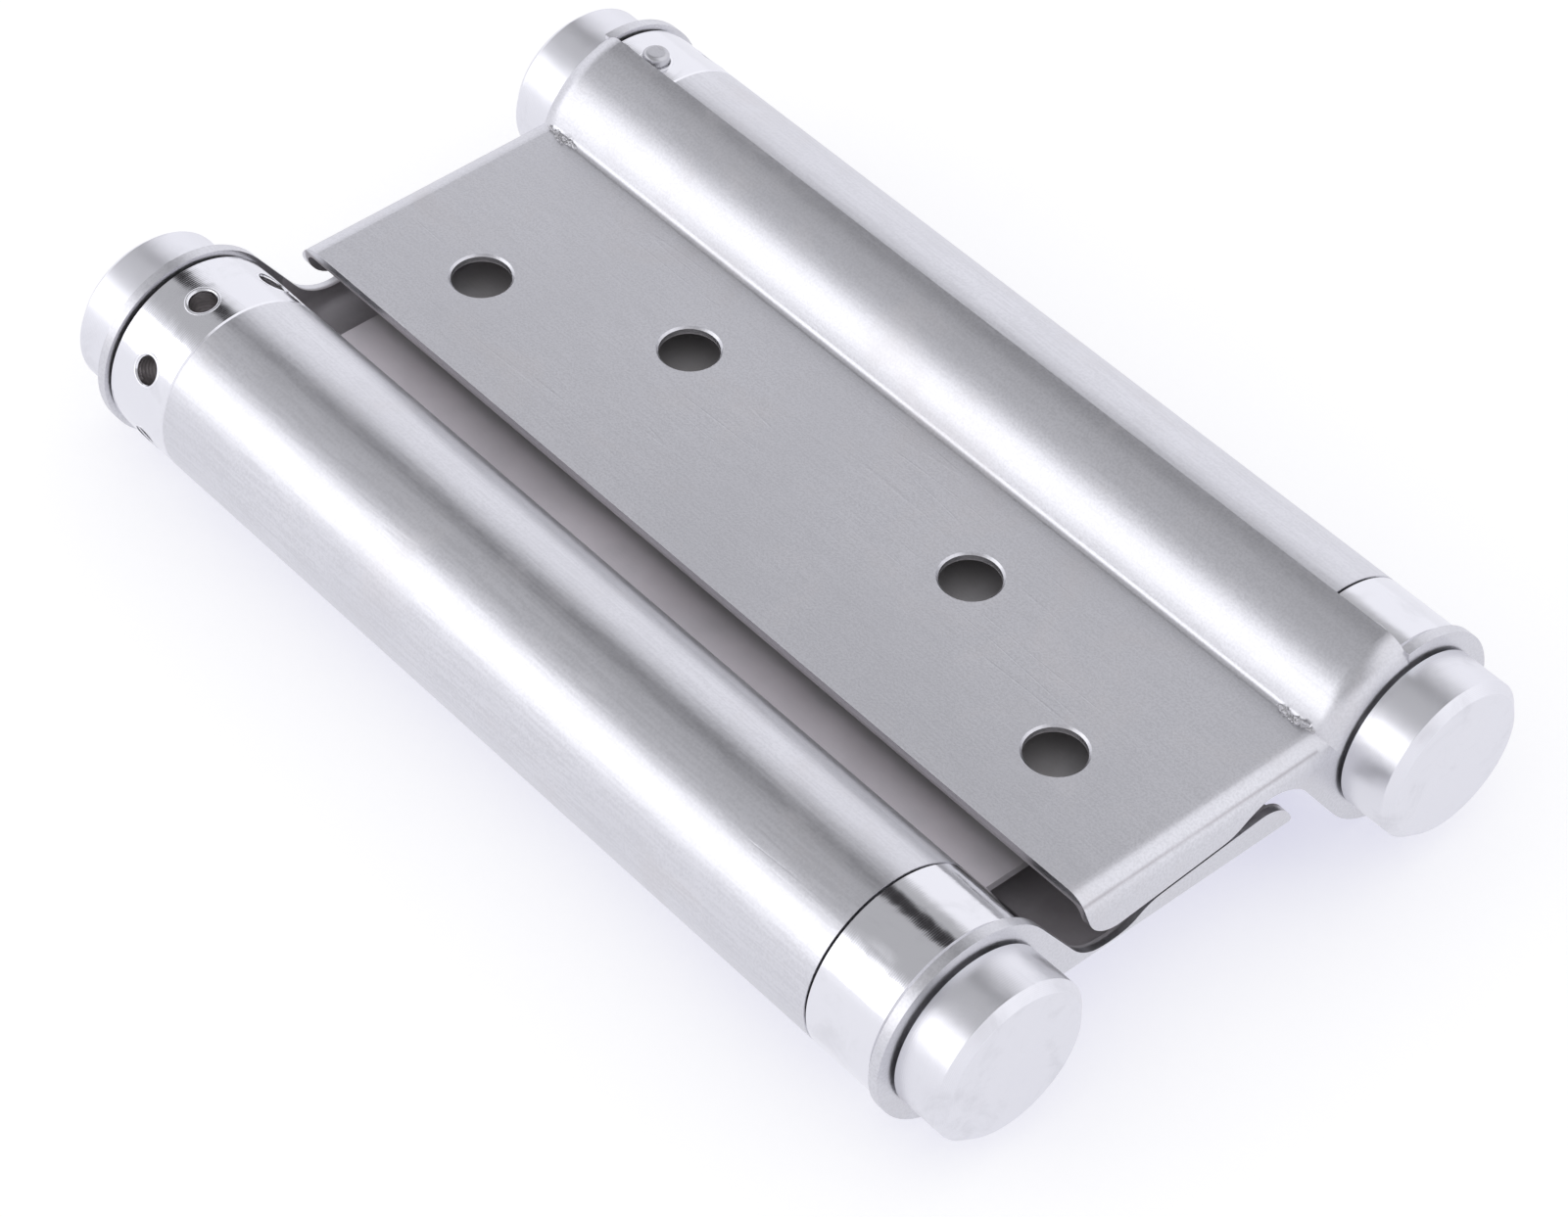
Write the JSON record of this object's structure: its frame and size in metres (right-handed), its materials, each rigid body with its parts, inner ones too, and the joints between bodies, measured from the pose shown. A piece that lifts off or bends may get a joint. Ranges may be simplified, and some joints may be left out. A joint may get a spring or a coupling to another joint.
{
  "type": "double action spring hinge",
  "caption": "Double action cafe hinge: sprung barrels joined by a rolled web, each with a folded leaf drilled for screws and a collar for setting the spring.",
  "frame": {"origin": "Centre of the closed hinge: midway between the two barrels' axes, at mid length, in the middle plane of the web.", "axes": "+Y along the barrels, towards the tension collars. +X from the jamb barrel to the door barrel. +Z out of the web on the door leaf's side."},
  "size_m": [0.0842, 0.14, 0.025],
  "materials": {
    "satin_steel": "satin stainless sheet, fine grain",
    "tube_steel": "satin stainless sheet, rolled",
    "polished_collar": "bright turned collar",
    "polished_cap": "bright turned cap",
    "inner_steel": "plain turned steel",
    "spring_steel": "oiled spring wire",
    "washer": "plain nylon"
  },
  "bodies": {
    "jamb": {"jamb_leaf": "satin_steel", "jamb_spindle": "inner_steel", "jamb_front_cap": "polished_cap", "jamb_rear_cap": "polished_cap", "jamb_front_washer": "washer", "jamb_rear_washer": "washer"},
    "centre": {"centre_web": "tube_steel", "jamb_anchor_collar": "polished_collar", "door_anchor_collar": "polished_collar", "jamb_spring": "spring_steel", "door_spring": "spring_steel"},
    "door": {"door_leaf": "satin_steel", "door_spindle": "inner_steel", "door_front_cap": "polished_cap", "door_rear_cap": "polished_cap", "door_front_washer": "washer", "door_rear_washer": "washer"},
    "jamb_tension": {"jamb_tension_collar": "polished_collar", "jamb_stop_pin": "inner_steel"},
    "door_tension": {"door_tension_collar": "polished_collar", "door_stop_pin": "inner_steel"}
  },
  "joints": [
    {"name": "jamb_swing", "type": "hinge", "parent": "jamb", "child": "centre", "pos_m": [-0.0305, 0, 0], "axis": [0, -1, 0], "range_deg": [0, 180], "stiffness_Nm_per_rad": 0.6, "deforming": ["jamb_spring"]},
    {"name": "door_swing", "type": "hinge", "parent": "centre", "child": "door", "pos_m": [0.0305, 0, 0], "axis": [0, 1, 0], "range_deg": [0, 180], "stiffness_Nm_per_rad": 0.6, "springref_deg": -28.65, "deforming": ["door_spring"]},
    {"name": "jamb_tension_turn", "type": "hinge", "parent": "jamb", "child": "jamb_tension", "pos_m": [-0.0305, 0, 0], "axis": [0, 1, 0], "range_deg": [-13.5, 226], "stiffness_Nm_per_rad": 0.6},
    {"name": "door_tension_turn", "type": "hinge", "parent": "door", "child": "door_tension", "pos_m": [0.0305, 0, 0], "axis": [0, 1, 0], "range_deg": [0, 240], "stiffness_Nm_per_rad": 0.6, "springref_deg": -28.65}
  ]
}
